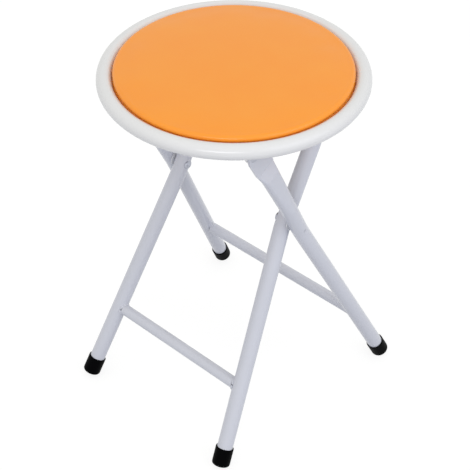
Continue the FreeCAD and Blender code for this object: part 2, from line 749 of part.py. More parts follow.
faults = [item.Name for item in doc.Objects if {"Invalid", "Error"} & set(item.State)]
faults += [item.Label for item in parts if item.Shape.isNull() or not item.Shape.isValid()]
if faults:
    raise RuntimeError("failed objects: " + ", ".join(faults))

os.makedirs("parts", exist_ok=True)
for item in parts:
    item.Shape.exportStep(os.path.join("parts", item.Label + ".step"))
print(f"{len(parts)} sub-parts, hinge at {HINGE}")
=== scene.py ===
# %% [markdown]
# # A round folding stool, dressed for a studio picture
# The stool has a padded orange seat in a white tube ring, and two pale grey leg frames that cross
# like scissors.  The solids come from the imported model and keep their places.  This lesson gives them
# their finishes, stuffs the pad, and adds the small work of the welder and the upholsterer.

import json
import math

import bmesh
import bpy
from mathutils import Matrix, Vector
from mathutils.bvhtree import BVHTree


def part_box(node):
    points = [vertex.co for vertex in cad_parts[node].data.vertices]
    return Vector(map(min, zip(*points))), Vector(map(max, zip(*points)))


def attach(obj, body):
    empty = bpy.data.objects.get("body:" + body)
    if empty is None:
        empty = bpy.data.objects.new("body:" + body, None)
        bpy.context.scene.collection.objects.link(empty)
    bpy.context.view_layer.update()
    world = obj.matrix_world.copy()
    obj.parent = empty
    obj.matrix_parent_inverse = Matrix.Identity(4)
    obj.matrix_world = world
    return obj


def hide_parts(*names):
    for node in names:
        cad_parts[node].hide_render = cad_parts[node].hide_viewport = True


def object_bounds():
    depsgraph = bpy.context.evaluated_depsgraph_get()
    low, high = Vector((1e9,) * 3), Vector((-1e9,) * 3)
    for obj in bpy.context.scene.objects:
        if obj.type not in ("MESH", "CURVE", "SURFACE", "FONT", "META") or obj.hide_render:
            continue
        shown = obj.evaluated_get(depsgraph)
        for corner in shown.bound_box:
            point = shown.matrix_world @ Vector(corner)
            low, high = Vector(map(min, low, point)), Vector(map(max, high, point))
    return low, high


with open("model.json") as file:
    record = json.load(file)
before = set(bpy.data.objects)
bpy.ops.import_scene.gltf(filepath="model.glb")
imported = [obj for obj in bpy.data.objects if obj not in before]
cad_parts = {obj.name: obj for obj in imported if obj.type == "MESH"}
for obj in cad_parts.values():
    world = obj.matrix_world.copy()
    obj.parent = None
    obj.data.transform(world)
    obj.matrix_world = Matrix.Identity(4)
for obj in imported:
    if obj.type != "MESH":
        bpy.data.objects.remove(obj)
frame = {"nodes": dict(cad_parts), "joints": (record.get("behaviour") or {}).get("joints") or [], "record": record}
cad_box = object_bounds()
nodes = frame["nodes"]
MM = 0.001
print(len(nodes), "solids, from", cad_box[0], "to", cad_box[1])

# %% [markdown]
# ## The camera
# The picture was taken from the front right and from well above, with a long lens.  The place of
# the camera was worked out from where the ring, the rails and the feet lie in the picture.
# Aiming the camera slightly below the middle of the stool frames it without any lens shift.

# %% Set up the camera
CAMERA_PLACE = Vector((735.4, -809.5, 1150.3)) * MM
CAMERA_AIM = Vector((10.1, -5.3, 216.2)) * MM
SENSOR_WIDTH = 36.0
LENS = 91.88

camera = bpy.data.objects.new("camera", bpy.data.cameras.new("camera"))
camera.data.sensor_width = SENSOR_WIDTH
camera.data.lens = LENS
camera.location = CAMERA_PLACE
camera.rotation_euler = (CAMERA_AIM - CAMERA_PLACE).to_track_quat("-Z", "Y").to_euler()
bpy.context.scene.collection.objects.link(camera)
bpy.context.scene.camera = camera
print("camera", round((CAMERA_AIM - CAMERA_PLACE).length, 3), "m from its aim")

# %% [markdown]
# ## Colours, nodes and pattern sizes
# Colours are written as they look on a screen, and one function turns them to the linear values
# that the shaders work with.  One more function adds a shader node with its settings and links.
# Patterns are measured in millimetres and turned to a count per metre.

# %% Helpers for materials
def colour(hex_code):
    """Linear colour from an sRGB hex code."""
    channels = [int(hex_code[start:start + 2], 16) / 255 for start in (1, 3, 5)]
    linear = [c / 12.92 if c <= 0.04045 else ((c + 0.055) / 1.055) ** 2.4 for c in channels]
    return (*linear, 1.0)


def add_node(tree, kind, values=None, links=None, **settings):
    """Add a shader node: its settings, its socket values, and links from (node, output)."""
    node = tree.nodes.new("ShaderNode" + kind)
    for name, value in settings.items():
        setattr(node, name, value)
    for socket, value in (values or {}).items():
        node.inputs[socket].default_value = value
    for socket, (source, output) in (links or {}).items():
        tree.links.new(source.outputs[output], node.inputs[socket])
    return node


def per_metre(millimetres):
    """Scale of a pattern whose features are that many millimetres apart."""
    return 1 / (millimetres * MM)


def new_material(name):
    """Empty node material with the coordinates of the piece that it is on."""
    material = bpy.data.materials.new(name)
    material.use_nodes = True
    tree = material.node_tree
    tree.nodes.clear()
    return material, tree, add_node(tree, "TexCoord")


def close_material(tree, shader):
    add_node(tree, "OutputMaterial", links={"Surface": (shader, 0)})


# %% [markdown]
# ## Powder-coated steel
# The ring, the straps, the legs and the rails are mild steel, sprayed with polyester powder and
# baked.  The powder flows out into an even skin with a faint orange peel, half glossy, and it hardly
# changes colour from place to place.  All of it is white; the leg frames are drawn a cool, very
# pale grey, which is painted shade, as they stand under the seat.  The peel is really 1 to 2 mm; it
# is drawn a little coarser here so that it still shows in a picture of this size.

# %% Powder coat
SEAT_COAT, SEAT_COAT_SHADE = "#E8E8E9", "#E3E3E4"
# The leg frames' coat is darker and bluer than the seat's white: painted shade from under the seat.
LEG_COAT_PAINTED_SHADE, LEG_COAT_PAINTED_SHADE_DARK = "#D4D6E0", "#CFD1DB"
COAT_GLOSSIEST, COAT_DULLEST = 0.16, 0.23
PEEL_SIZE, PEEL_DEPTH, PEEL_STRENGTH = 3.0, 0.05 * MM, 0.12
CLOUD_SIZE = 70.0


def powder_coat(name, light, dark):
    material, tree, place = new_material(name)
    cloud = add_node(tree, "TexNoise", {"Scale": per_metre(CLOUD_SIZE), "Detail": 2.0},
                     {"Vector": (place, "Object")})
    tint = add_node(tree, "Mix", {6: colour(dark), 7: colour(light)},
                    {0: (cloud, "Fac")}, data_type="RGBA")
    peel = add_node(tree, "TexNoise", {"Scale": per_metre(PEEL_SIZE), "Detail": 1.0},
                    {"Vector": (place, "Object")})
    gloss = add_node(tree, "MapRange", {"To Min": COAT_GLOSSIEST, "To Max": COAT_DULLEST},
                     {"Value": (peel, "Fac")})
    relief = add_node(tree, "Bump", {"Strength": PEEL_STRENGTH, "Distance": PEEL_DEPTH},
                      {"Height": (peel, "Fac")})
    shader = add_node(tree, "BsdfPrincipled", {"IOR": 1.5},
                      {"Base Color": (tint, 2), "Roughness": (gloss, 0), "Normal": (relief, 0)})
    close_material(tree, shader)
    return material


# %% [markdown]
# ## Orange vinyl
# The cover is soft PVC film on a knitted back, rolled between heated cylinders that press a fine,
# very shallow grain into it.  It is half glossy, so it has a faint bright line along the front of its
# edge and looks paler where it is seen at a low angle.  The grain is about 1 mm; it is drawn at 2 mm.
# Wider, very shallow waves come from the foam below.

# %% Vinyl
VINYL_ORANGE = "#FFA337"
VINYL_DEEP = "#FF9B30"
VINYL_GLOSSIEST, VINYL_DULLEST = 0.17, 0.22
GRAIN_SIZE, GRAIN_DEPTH, GRAIN_STRENGTH = 2.0, 0.15 * MM, 0.04
WAVE_SIZE, WAVE_DEPTH, WAVE_STRENGTH = 45.0, 0.6 * MM, 0.25


def calendered_vinyl():
    material, tree, place = new_material("calendered_pvc_vinyl")
    wave = add_node(tree, "TexNoise", {"Scale": per_metre(WAVE_SIZE), "Detail": 2.0},
                    {"Vector": (place, "Object")})
    tint = add_node(tree, "Mix", {6: colour(VINYL_DEEP), 7: colour(VINYL_ORANGE)},
                    {0: (wave, "Fac")}, data_type="RGBA")
    grain = add_node(tree, "TexVoronoi", {"Scale": per_metre(GRAIN_SIZE)},
                     {"Vector": (place, "Object")}, feature="SMOOTH_F1")
    gloss = add_node(tree, "MapRange", {"To Min": VINYL_GLOSSIEST, "To Max": VINYL_DULLEST},
                     {"Value": (grain, "Distance")})
    swell = add_node(tree, "Bump", {"Strength": WAVE_STRENGTH, "Distance": WAVE_DEPTH},
                     {"Height": (wave, "Fac")})
    relief = add_node(tree, "Bump", {"Strength": GRAIN_STRENGTH, "Distance": GRAIN_DEPTH},
                      {"Height": (grain, "Distance"), "Normal": (swell, 0)})
    shader = add_node(tree, "BsdfPrincipled", {"IOR": 1.53, "Specular IOR Level": 0.3},
                      {"Base Color": (tint, 2), "Roughness": (gloss, 0), "Normal": (relief, 0)})
    close_material(tree, shader)
    return material


# %% [markdown]
# ## Small finishes
# The foot caps are soft black PVC, dipped and slightly dull, with a little floor dust on the sole.
# The plugs, washers and catch blocks are moulded nylon, which is milky and waxy.  Rivets, screws
# and staples are zinc plated, with a grey bloom.  The board under the pad is raw fibreboard: short
# brown fibres pressed flat.

# %% Small finishes
CAP_BLACK, CAP_DUST = "#040405", "#121213"
NYLON_WHITE, NYLON_SHADE = "#E6E7EB", "#DADCE1"
ZINC_BRIGHT, ZINC_BLOOM = "#C2C4CE", "#A9ACB6"
FIBRE_LIGHT, FIBRE_DARK = "#B08D66", "#8A6845"
CAP_GLOSSIEST, CAP_DULLEST = 0.4, 0.52
NYLON_GLOSSIEST, NYLON_DULLEST = 0.42, 0.55
ZINC_GLOSSIEST, ZINC_DULLEST = 0.36, 0.5
DUST_HEIGHT = 3.0
CAP_GRIT, CAP_GRIT_DEPTH, CAP_GRIT_STRENGTH = 1.2, 0.1 * MM, 0.15
NYLON_GRIT, NYLON_GRIT_DEPTH, NYLON_GRIT_STRENGTH = 1.5, 0.08 * MM, 0.1
BLOOM_SIZE = 4.0
FIBRE_LENGTH, FIBRE_WIDTH, FIBRE_DEPTH, FIBRE_STRENGTH = 6.0, 0.9, 0.2 * MM, 0.4


def soft_pvc():
    material, tree, place = new_material("dipped_soft_pvc")
    axes = add_node(tree, "SeparateXYZ", links={"Vector": (place, "Object")})
    dust = add_node(tree, "MapRange", {"From Max": DUST_HEIGHT * MM, "To Min": 1.0, "To Max": 0.0},
                    {"Value": (axes, "Z")})
    tint = add_node(tree, "Mix", {6: colour(CAP_BLACK), 7: colour(CAP_DUST)},
                    {0: (dust, 0)}, data_type="RGBA")
    grit = add_node(tree, "TexNoise", {"Scale": per_metre(CAP_GRIT)}, {"Vector": (place, "Object")})
    gloss = add_node(tree, "MapRange", {"To Min": CAP_GLOSSIEST, "To Max": CAP_DULLEST},
                     {"Value": (grit, "Fac")})
    relief = add_node(tree, "Bump", {"Strength": CAP_GRIT_STRENGTH, "Distance": CAP_GRIT_DEPTH},
                      {"Height": (grit, "Fac")})
    shader = add_node(tree, "BsdfPrincipled", {"IOR": 1.52, "Specular IOR Level": 0.02},
                      {"Base Color": (tint, 2), "Roughness": (gloss, 0), "Normal": (relief, 0)})
    close_material(tree, shader)
    return material


def moulded_nylon():
    material, tree, place = new_material("moulded_nylon")
    grit = add_node(tree, "TexNoise", {"Scale": per_metre(NYLON_GRIT)}, {"Vector": (place, "Object")})
    tint = add_node(tree, "Mix", {6: colour(NYLON_SHADE), 7: colour(NYLON_WHITE)},
                    {0: (grit, "Fac")}, data_type="RGBA")
    gloss = add_node(tree, "MapRange", {"To Min": NYLON_GLOSSIEST, "To Max": NYLON_DULLEST},
                     {"Value": (grit, "Fac")})
    relief = add_node(tree, "Bump", {"Strength": NYLON_GRIT_STRENGTH, "Distance": NYLON_GRIT_DEPTH},
                      {"Height": (grit, "Fac")})
    shader = add_node(tree, "BsdfPrincipled", {"IOR": 1.53},
                      {"Base Color": (tint, 2), "Roughness": (gloss, 0), "Normal": (relief, 0)})
    close_material(tree, shader)
    return material


def zinc_plate():
    material, tree, place = new_material("zinc_plated_steel")
    bloom = add_node(tree, "TexNoise", {"Scale": per_metre(BLOOM_SIZE), "Detail": 3.0},
                     {"Vector": (place, "Object")})
    tint = add_node(tree, "Mix", {6: colour(ZINC_BLOOM), 7: colour(ZINC_BRIGHT)},
                    {0: (bloom, "Fac")}, data_type="RGBA")
    gloss = add_node(tree, "MapRange", {"To Min": ZINC_DULLEST, "To Max": ZINC_GLOSSIEST},
                     {"Value": (bloom, "Fac")})
    shader = add_node(tree, "BsdfPrincipled", {"Metallic": 1.0},
                      {"Base Color": (tint, 2), "Roughness": (gloss, 0)})
    close_material(tree, shader)
    return material


def raw_fibreboard():
    material, tree, place = new_material("pressed_fibreboard")
    stretch = add_node(tree, "Mapping", {"Scale": (per_metre(FIBRE_LENGTH), per_metre(FIBRE_WIDTH), 1)},
                       {"Vector": (place, "Object")})
    fibres = add_node(tree, "TexNoise", {"Scale": 1.0, "Detail": 4.0, "Distortion": 2.0},
                      {"Vector": (stretch, 0)})
    tint = add_node(tree, "Mix", {6: colour(FIBRE_DARK), 7: colour(FIBRE_LIGHT)},
                    {0: (fibres, "Fac")}, data_type="RGBA")
    relief = add_node(tree, "Bump", {"Strength": FIBRE_STRENGTH, "Distance": FIBRE_DEPTH},
                      {"Height": (fibres, "Fac")})
    shader = add_node(tree, "BsdfPrincipled", {"Roughness": 0.85, "IOR": 1.45},
                      {"Base Color": (tint, 2), "Normal": (relief, 0)})
    close_material(tree, shader)
    return material


# %% [markdown]
# ## Dress the solids
# Every solid carries the name of its finish from the model, so the finishes are handed out by that
# name.  Only the coated steel is told apart by its body: the seat is white, and the leg frames get a
# darker, bluer copy of the same white, which is painted shade.

# %% Hand out the finishes
COATED = "white_coated_steel"
white_coat = powder_coat("powder_coat_white", SEAT_COAT, SEAT_COAT_SHADE)
# the legs' copy of the white coat is darker and bluer: painted shade
leg_coat_painted_shade = powder_coat("powder_coat_white_painted_shade", LEG_COAT_PAINTED_SHADE, LEG_COAT_PAINTED_SHADE_DARK)
finishes = {
    "orange_vinyl": calendered_vinyl(),
    "foot_cap_plastic": soft_pvc(),
    "white_nylon": moulded_nylon(),
    "zinc_steel": zinc_plate(),
    "fibreboard": raw_fibreboard(),
}


def finish(slot, body):
    """Finish of a material slot on one of the stool's bodies."""
    if slot == COATED:
        # the leg frames get the darker, bluer copy of the white coat: painted shade
        return white_coat if body == "seat" else leg_coat_painted_shade
    return finishes.get(slot)


for body, names in frame["record"]["behaviour"]["bodies"].items():
    for name in names:
        material = finish(nodes[name].data.materials[0].name, body)
        if material:
            nodes[name].material_slots[0].material = material
print("finishes:", white_coat.name, leg_coat_painted_shade.name, ", ".join(item.name for item in finishes.values()))


# %% [markdown]
# ## New pieces
# A new piece is a mesh that is given its finish, rides on one body of the stool, and is smoothed.

# %% Helper for new pieces
def new_piece(name, form, body, slot):
    """Turn a bmesh into a piece of the stool with the finish of a material slot."""
    mesh = bpy.data.meshes.new(name)
    bmesh.ops.recalc_face_normals(form, faces=form.faces)
    form.to_mesh(mesh)
    form.free()
    mesh.polygons.foreach_set("use_smooth", [True] * len(mesh.polygons))
    mesh.materials.append(finish(slot, body))
    piece = bpy.data.objects.new(name, mesh)
    bpy.context.scene.collection.objects.link(piece)
    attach(piece, body)
    return piece


def skin(form, rings, closed_rows=True, closed_rings=False):
    """Join rows of points, each given as a list of places, into a skin of four-sided faces."""
    rows = [[form.verts.new(place) for place in ring] for ring in rings]
    pairs = list(zip(rows, rows[1:])) + ([(rows[-1], rows[0])] if closed_rings else [])
    for lower, upper in pairs:
        count = len(lower)
        for index in range(count if closed_rows else count - 1):
            after = (index + 1) % count
            form.faces.new((lower[index], lower[after], upper[after], upper[index]))
    return rows


def closed_skin(form, rings):
    """Skin over the rings, with the first and the last ring filled."""
    rows = skin(form, rings)
    form.faces.new(rows[0])
    form.faces.new(rows[-1])


def closed_form(rings):
    """The same as a form of its own."""
    form = bmesh.new()
    closed_skin(form, rings)
    return form


# %% [markdown]
# ## The pad's measures
# The pad is a thin disc of foam under a tight vinyl cover.  It could be one lathed form, but a real
# crown is never so even, so its edge and its crown are made apart.  The measures come from the solids
# of the cover and the board.  All of it is round, so the helpers place points on circles about the
# seat's axis.

# %% Measure the pad
cover_low, cover_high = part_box("seat_cover")
board_low, board_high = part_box("seat_board")
seat_centre = Vector(((cover_low.x + cover_high.x) / 2, (cover_low.y + cover_high.y) / 2, 0))
BOARD_RADIUS = (board_high.x - board_low.x) / 2
PAD_BASE = board_high.z + 0.1 * MM
PAD_TOP = cover_high.z
PAD_EDGE = 4.2 * MM
PAD_SHOULDER = 4.7 * MM
EDGE_AXIS = (cover_high.x - cover_low.x) / 2 - PAD_EDGE
EDGE_HEIGHT = PAD_TOP - PAD_SHOULDER - PAD_EDGE
LIP_RADIUS = BOARD_RADIUS + 0.6 * MM
PAD_SEGMENTS = 144
EDGE_STEPS = 12
CROWN_STEPS = 24
CROWN_SHARES = [1 - step / CROWN_STEPS for step in range(1, CROWN_STEPS)]


def ring_place(radius, height, turn):
    """Point at a radius and height about the seat's axis."""
    return seat_centre + Vector((radius * math.cos(turn), radius * math.sin(turn), height))


def around(segments):
    return [2 * math.pi * step / segments for step in range(segments)]


def circle(radius, height, segments):
    return [ring_place(radius, height, turn) for turn in around(segments)]


def edge_rings(radius, start):
    """Rings of the pad's rounded edge, from a turn below or above its widest line up to the crown."""
    turns = [start + (math.pi / 2 - start) * step / EDGE_STEPS for step in range(EDGE_STEPS + 1)]
    return [circle(EDGE_AXIS + radius * math.cos(turn), EDGE_HEIGHT + radius * math.sin(turn), PAD_SEGMENTS)
            for turn in turns]


print("pad of", round(2 * (EDGE_AXIS + PAD_EDGE) / MM, 1), "mm, its top at", round(PAD_TOP / MM, 1), "mm")

# %% [markdown]
# ## Blow up the cover
# A flat lens, a little smaller than the real pad, is blown up by a cloth simulation: the cover is
# held where it lies on the board and swells everywhere else, as foam makes it do.  The swelling is
# capped, so that the pad keeps its real size.

# %% Blow up the cover
SWELL = 1.0 * MM
VOXEL = 3.6 * MM
PRESSURE = 4.0
LAST_FRAME = 20


def evaluated_mesh(piece):
    return bpy.data.meshes.new_from_object(piece.evaluated_get(bpy.context.evaluated_depsgraph_get()))


def scratch_object(form):
    """Helper object that is not part of the stool."""
    mesh = bpy.data.meshes.new("scratch")
    form.to_mesh(mesh)
    form.free()
    item = bpy.data.objects.new("scratch", mesh)
    bpy.context.scene.collection.objects.link(item)
    return item


def swollen_cover():
    """Search tree of a smaller lens, blown up as cloth that is held at its base."""
    radius = PAD_EDGE - SWELL
    rings = edge_rings(radius, math.asin(max(-1.0, (PAD_BASE - EDGE_HEIGHT) / radius)))
    rings += [circle(EDGE_AXIS * share, PAD_TOP - SWELL - PAD_SHOULDER * share ** 2, PAD_SEGMENTS)
              for share in CROWN_SHARES]
    cover = scratch_object(closed_form(rings))
    remesh = cover.modifiers.new("remesh", "REMESH")
    remesh.mode = "VOXEL"
    remesh.voxel_size = VOXEL
    cover.data = evaluated_mesh(cover)
    cover.modifiers.clear()
    start = [vertex.co.copy() for vertex in cover.data.vertices]
    held = cover.vertex_groups.new(name="held")
    held.add([v.index for v in cover.data.vertices if v.co.z < PAD_BASE + VOXEL / 4], 1.0, "REPLACE")
    cloth = cover.modifiers.new("cloth", "CLOTH")
    cloth.settings.use_pressure = True
    cloth.settings.uniform_pressure_force = PRESSURE
    cloth.settings.effector_weights.gravity = 0
    cloth.settings.vertex_group_mass = held.name
    for step in range(1, LAST_FRAME + 1):
        bpy.context.scene.frame_set(step)
    swollen = evaluated_mesh(cover)
    bpy.data.objects.remove(cover)
    bpy.context.scene.frame_set(1)
    places, travel = [], 0.0
    for vertex, origin in zip(swollen.vertices, start):
        move = vertex.co - origin
        move *= min(1.0, SWELL / max(move.length, MM / 1000))
        travel = max(travel, move.length)
        places.append(origin + move)
    print("cover swelled by up to", round(travel / MM, 2), "mm on", len(start), "points")
    return BVHTree.FromPolygons(places, [polygon.vertices for polygon in swollen.polygons])


# %% [markdown]
# ## Finish the pad
# The finished pad takes the form of its crown from the swollen cover.  Its edge is the full round of
# the real one, which runs down past the board's upper face and stays clear of the ring.

# %% Finish the pad
EVENING = 3


def crown_rings(tree):
    """Rings of the crown: its swollen form, evened out and drawn to the pad's real height."""
    sights = [[tree.ray_cast(ring_place(EDGE_AXIS * share, 2 * PAD_TOP, turn), Vector((0, 0, -1)))[0].z
               for turn in around(PAD_SEGMENTS)] for share in (1.0, *CROWN_SHARES)]
    for _ in range(EVENING):
        sights = [[(row[index - 1] + 2 * row[index] + row[(index + 1) % PAD_SEGMENTS]) / 4
                   for index in range(PAD_SEGMENTS)] for row in sights]
        sights = [[(a + 2 * b + c) / 4 for a, b, c in zip(before, row, after)]
                  for before, row, after in zip(sights[:1] + sights, sights, sights[1:] + sights[-1:])]
    rim, top = (sum(row) / PAD_SEGMENTS for row in (sights[0], sights[-1]))
    rings = []
    for share, row in zip(CROWN_SHARES, sights[1:]):
        heights = [PAD_TOP - PAD_SHOULDER * (top - height) / (top - rim) for height in row]
        rings.append([ring_place(EDGE_AXIS * share, height, turn)
                      for height, turn in zip(heights, around(PAD_SEGMENTS))])
    return rings


crown = crown_rings(swollen_cover())
edge = edge_rings(PAD_EDGE, -math.acos((LIP_RADIUS - EDGE_AXIS) / PAD_EDGE))
pad_form = closed_form([circle(LIP_RADIUS, PAD_BASE, PAD_SEGMENTS)] + edge + crown)
pad = new_piece("seat_pad", pad_form, "seat", "orange_vinyl")
subdivision = pad.modifiers.new("subdivision", "SUBSURF")
subdivision.levels = subdivision.render_levels = 1
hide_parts("seat_cover", "seat_foam")
print("pad with", len(pad.data.polygons), "faces")

# %% [markdown]
# ## The hem under the seat
# The upholsterer pulls the cover round the edge of the board, folds it under and staples it down.
# A flat sheet has too much edge for the smaller circle, so it lies in small pleats, which are pressed
# flat where a strap crosses them.  The foam is a little larger than the board and folds over its edge,
# so the cover swells there and fills the gap to the ring.

# %% Turn the hem under
strap_low, strap_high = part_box("rear_strap")
ring_low, ring_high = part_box("seat_ring")
STRAP_LINES = [(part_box(name)[0].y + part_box(name)[1].y) / 2 for name in ("rear_strap", "front_strap")]
STRAP_HALF = (strap_high.y - strap_low.y) / 2
HEM_SHEET = 0.9 * MM
HEM_SIDE = BOARD_RADIUS + 1.1 * MM
HEM_SWELL = (ring_high.x - ring_low.x) / 2 - (ring_high.z - ring_low.z) - 0.05 * MM
HEM_TOP = EDGE_HEIGHT - PAD_EDGE * 0.75
SIDE_STEPS, BEND_STEPS = 8, 3
HEM_UNDERSIDE = cover_low.z
HEM_INNER = 112 * MM
CUT_WAVES = ((1.3 * MM, 5, 0.4), (0.9 * MM, 13, 2.1))  # height, count round the seat and start of each
HEM_ROUNDING = 1.8 * MM
HEM_SEGMENTS = 720
HEM_STEPS = 10
PLEATS = 46
PLEAT_HEIGHT = 1.7 * MM
PLEAT_GROWTH, PLEAT_SHARPNESS = 1.5, 3
PLEAT_DRIFT, PLEAT_UNEVENNESS = 0.8, 0.25
STRAP_CLEARANCE = 3 * MM
PLEAT_FADE = 9 * MM


def pressed_flat(along):
    """0 under a strap, 1 well away from both, from a place along Y."""
    gap = min(abs(along - line) for line in STRAP_LINES) - STRAP_HALF - STRAP_CLEARANCE
    share = min(1.0, max(0.0, gap / PLEAT_FADE))
    return share * share * (3 - 2 * share)


def hem_edge(turn):
    """Radius of the hem's hand-cut inner edge."""
    return HEM_INNER + sum(height * math.sin(count * turn + start) for height, count, start in CUT_WAVES)


def pleat(turn):
    """Height of the pleats round the hem, each a little different."""
    wave = math.sin(PLEATS * turn + PLEAT_DRIFT * math.sin(3 * turn))
    size = 1 - PLEAT_UNEVENNESS + PLEAT_UNEVENNESS * math.sin(11 * turn + 1.0)
    return max(0.0, wave) ** PLEAT_SHARPNESS * size


def hem_profile(turn):
    """Outside of the sheet from under the pad's edge, down the board's side and in to the hem's edge."""
    corner_height = HEM_UNDERSIDE + HEM_ROUNDING
    profile = [(HEM_SIDE + (HEM_SWELL - HEM_SIDE) * math.sin(math.pi * step / SIDE_STEPS),
                HEM_TOP + (corner_height - HEM_TOP) * step / SIDE_STEPS) for step in range(SIDE_STEPS)]
    for step in range(BEND_STEPS + 1):
        bend = math.pi / 2 * step / BEND_STEPS
        profile.append((HEM_SIDE - HEM_ROUNDING * (1 - math.cos(bend)),
                        corner_height - HEM_ROUNDING * math.sin(bend)))
    start, end = HEM_SIDE - HEM_ROUNDING, hem_edge(turn)
    for step in range(1, HEM_STEPS + 1):
        share = step / HEM_STEPS
        radius = start + (end - start) * share
        along = ring_place(radius, 0, turn).y
        rise = PLEAT_HEIGHT * pleat(turn) * share ** PLEAT_GROWTH * pressed_flat(along)
        profile.append((radius, HEM_UNDERSIDE - rise))
    return profile


hem_form = bmesh.new()
skin(hem_form, [[ring_place(radius, height, turn) for radius, height in hem_profile(turn)]
                for turn in around(HEM_SEGMENTS)], closed_rows=False, closed_rings=True)
hem = new_piece("cover_hem", hem_form, "seat", "orange_vinyl")
thickness = hem.modifiers.new("sheet", "SOLIDIFY")
thickness.thickness = HEM_SHEET
thickness.offset = -1
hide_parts("seat_cover")
print("hem with", PLEATS, "pleats")

# %% [markdown]
# ## Sweeping wire and weld beads
# Staples are bent wire and a weld bead is a line of overlapping drops.  Both are a round section
# carried along a path; the bead's section swells and shrinks with the drops.

# %% Helper for sweeps
ASKEW = Vector((0.31, 0.52, 0.79))  # a heading that no path here has


def sweep(form, path, radius_at, sides):
    """Closed round section along a path of places; radius_at gives its radius at a path length."""
    rings, travelled = [], 0.0
    for index, place in enumerate(path):
        before, after = path[max(0, index - 1)], path[min(len(path) - 1, index + 1)]
        heading = (after - before).normalized()
        side = heading.cross(ASKEW).normalized()
        up = heading.cross(side)
        travelled += (place - before).length
        radius = radius_at(travelled)
        rings.append([place + (side * math.cos(turn) + up * math.sin(turn)) * radius
                      for turn in around(sides)])
    closed_skin(form, rings)


# %% [markdown]
# ## Staples
# A row of fine-wire staples holds the hem to the board.  Each crown lies along the hem, and its two
# legs go up into the board.  The row is broken where the straps cross it.

# %% Drive the staples
STAPLE_COUNT = 44
STAPLE_RADIUS = 118.5 * MM
STAPLE_CROWN = 9.5 * MM
STAPLE_WIRE = 0.35 * MM
STAPLE_LEG = 4.0 * MM
STAPLE_BEND = 0.7 * MM
STAPLE_KNEE = 0.3
STAPLE_SIDES = 8
STAPLE_SKEW = 0.12
STAPLE_SPREAD = 0.16
STAPLE_WANDER = 1.4 * MM

staple_form = bmesh.new()
driven = 0
for number in range(STAPLE_COUNT):
    turn = 2 * math.pi * (number + 0.5 + STAPLE_SPREAD * math.sin(2.3 * number)) / STAPLE_COUNT
    radius = STAPLE_RADIUS + STAPLE_WANDER * math.sin(1.7 * number)
    spot = ring_place(radius, HEM_UNDERSIDE - STAPLE_WIRE, turn)
    if pressed_flat(spot.y) < 1:
        continue
    skew = turn + math.pi / 2 + STAPLE_SKEW * math.sin(3.1 * number)
    along = Vector((math.cos(skew), math.sin(skew), 0)) * (STAPLE_CROWN / 2)
    bend_in = along.normalized() * STAPLE_BEND
    rise, bend_up = Vector((0, 0, STAPLE_LEG)), Vector((0, 0, STAPLE_BEND))
    knee_in, knee_up = bend_in * STAPLE_KNEE, bend_up * STAPLE_KNEE
    path = [spot - along + rise, spot - along + bend_up, spot - along + knee_in + knee_up,
            spot - along + bend_in, spot + along - bend_in, spot + along - knee_in + knee_up,
            spot + along + bend_up, spot + along + rise]
    sweep(staple_form, path, lambda travelled: STAPLE_WIRE, STAPLE_SIDES)
    driven += 1
new_piece("hem_staples", staple_form, "seat", "zinc_steel")
print(driven, "staples")

# %% [markdown]
# ## Weld beads
# The rails and the top bar are cut square and welded to the legs above and below, where they touch.
# The beads on the outer frame are short and leave its rail's ends open at the sides.
# The others run round until they nearly meet.  A bead lies half-way between the rail's edge and the
# leg.  The place on the leg is found by looking along the rail, from points of its skin, for where
# the sight line strikes the leg.

# %% Weld the rails
BEAD_RADIUS = 1.3 * MM
BEAD_TIP = 0.35
BEAD_RIPPLE = 0.12
BEAD_PITCH = 1.5 * MM
BEAD_STEP = 0.35 * MM
BEAD_SIDES = 10
LONG_ARC, SHORT_ARC = math.radians(88), math.radians(26)
ARC_STEPS = 16
RAY_START = 30 * MM
PIVOT = Vector(frame["joints"][0]["pos_m"])


def finely(path):
    """The same path with points at most a bead step apart."""
    fine = [path[0]]
    for start, end in zip(path, path[1:]):
        count = max(1, math.ceil((end - start).length / BEAD_STEP))
        fine += [start.lerp(end, step / count) for step in range(1, count + 1)]
    return fine


def bead(form, path):
    """Bead along a path, thinner at both ends."""
    path = finely(path)
    length = sum((b - a).length for a, b in zip(path, path[1:]))

    def radius_at(travelled):
        taper = min(1.0, BEAD_TIP + min(travelled, length - travelled) / (2 * BEAD_RADIUS))
        ripple = 1 + BEAD_RIPPLE * abs(math.sin(math.pi * travelled / BEAD_PITCH))
        return BEAD_RADIUS * taper * ripple

    sweep(form, path, radius_at, BEAD_SIDES)


def target(name):
    """Search tree of a solid, for sight lines."""
    solid = nodes[name]
    return BVHTree.FromPolygons([v.co for v in solid.data.vertices],
                                [p.vertices for p in solid.data.polygons])


def rail_beads(name, rail, legs, body, arc):
    """Beads above and below each end of a rail, against the two legs."""
    low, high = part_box(rail)
    centre, radius = (low + high) / 2, (high.z - low.z) / 2
    upward = Vector((0, PIVOT.y - centre.y, PIVOT.z - centre.z)).normalized()
    across = upward.cross(Vector((1, 0, 0)))
    form = bmesh.new()
    for leg, sign in zip(legs, (-1, 1)):
        tree = target(leg)
        heading = Vector((sign, 0, 0))
        end = Vector((high.x if sign > 0 else low.x, centre.y, centre.z))
        for middle in (0.0, math.pi):
            path = []
            for step in range(ARC_STEPS + 1):
                turn = middle + arc * (2 * step / ARC_STEPS - 1)
                off = (upward * math.cos(turn) + across * math.sin(turn)) * radius
                strike = tree.ray_cast(end + off - heading * RAY_START, heading)[0]
                path.append(strike.lerp(end + off, 0.5))
            bead(form, path)
    new_piece(name, form, body, COATED)
    print(name, "laid")


